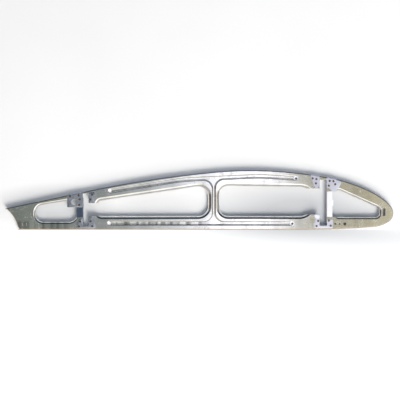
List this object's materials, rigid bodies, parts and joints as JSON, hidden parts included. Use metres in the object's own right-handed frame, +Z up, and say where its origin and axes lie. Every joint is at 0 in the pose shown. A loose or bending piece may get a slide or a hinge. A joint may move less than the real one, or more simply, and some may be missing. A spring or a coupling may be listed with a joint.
{
  "type": "wing rib",
  "caption": "Pressed sheet-metal wing rib with lipped lightening holes, stiffening grooves, two spar slots with riveted gussets, and a flange all round for the skin",
  "frame": {"origin": "middle of the front spar slot, on the plain face of the web", "axes": "+X forward along the chord to the nose, +Z up, +Y through the web towards the flange side; the plain face looks along -Y"},
  "size_m": [1.2413, 0.0247, 0.19],
  "materials": {
    "web_sheet": "mill-finish pressed sheet, bright, with fine rolling marks",
    "gusset_sheet": "mill-finish flat sheet, bright, with cut edges",
    "stiffener_sheet": "mill-finish bent sheet, bright",
    "rivet": "driven round-head rivet, dull gold"
  },
  "bodies": {
    "root": {"rib_web": "web_sheet", "rear_slot_stiffener": "stiffener_sheet", "front_slot_stiffener": "stiffener_sheet", "rear_upper_aft_gusset": "gusset_sheet", "rear_upper_forward_gusset": "gusset_sheet", "rear_lower_doubler": "gusset_sheet", "front_upper_aft_gusset": "gusset_sheet", "front_upper_forward_gusset": "gusset_sheet", "front_lower_doubler": "gusset_sheet", "rear_upper_aft_rivet_1": "rivet", "rear_upper_aft_rivet_2": "rivet", "rear_upper_aft_rivet_3": "rivet", "rear_upper_aft_rivet_4": "rivet", "rear_upper_forward_rivet_1": "rivet", "rear_upper_forward_rivet_2": "rivet", "rear_lower_aft_rivet_1": "rivet", "rear_lower_aft_rivet_2": "rivet", "rear_lower_forward_rivet_1": "rivet", "rear_lower_forward_rivet_2": "rivet", "front_upper_aft_rivet_1": "rivet", "front_upper_aft_rivet_2": "rivet", "front_upper_aft_rivet_3": "rivet", "front_upper_forward_rivet_1": "rivet", "front_upper_forward_rivet_2": "rivet", "front_upper_forward_rivet_3": "rivet", "front_upper_forward_rivet_4": "rivet", "front_lower_aft_rivet_1": "rivet", "front_lower_aft_rivet_2": "rivet", "front_lower_forward_rivet_1": "rivet", "front_lower_forward_rivet_2": "rivet", "front_upper_aft_small_rivet_1": "rivet", "front_upper_aft_small_rivet_2": "rivet"}
  },
  "joints": []
}
